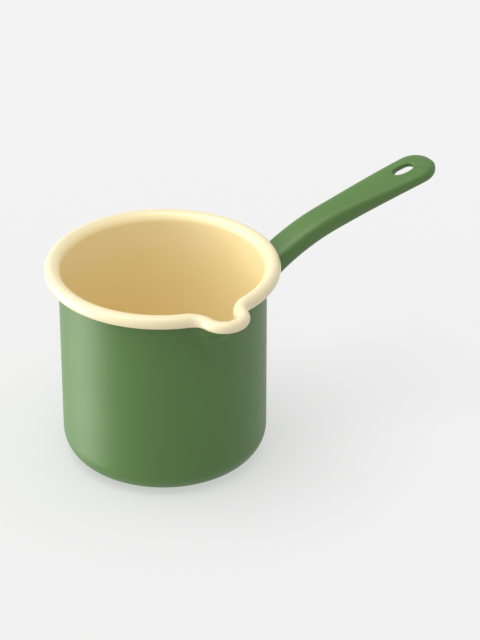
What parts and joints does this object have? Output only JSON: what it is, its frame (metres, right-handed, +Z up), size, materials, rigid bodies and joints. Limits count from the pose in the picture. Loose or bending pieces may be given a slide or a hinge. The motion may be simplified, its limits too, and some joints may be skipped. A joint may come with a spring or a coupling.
{
  "type": "melting pot",
  "caption": "Enamelled steel melting pot with a rolled rim, a side pouring spout and a long hollow handle with an oval hanging hole.",
  "frame": {"origin": "centre of the base's underside, on the pan's axis", "axes": "+Z up along the pan's axis, +X along the handle away from the pan, -Y towards the spout's tip"},
  "size_m": [0.2543, 0.1512, 0.1415],
  "materials": {
    "deep_drawn_steel": "satin",
    "weld_steel": "matte",
    "cream_enamel": "gloss",
    "green_enamel": "gloss",
    "ground_enamel": "satin"
  },
  "bodies": {
    "root": {"body_pressing": "deep_drawn_steel", "lining_coat": "cream_enamel", "ground_coat_line": "ground_enamel", "wall_coat": "green_enamel", "handle_tube": "deep_drawn_steel", "seam_weld": "weld_steel", "root_weld": "weld_steel", "handle_coat": "green_enamel"}
  },
  "joints": []
}
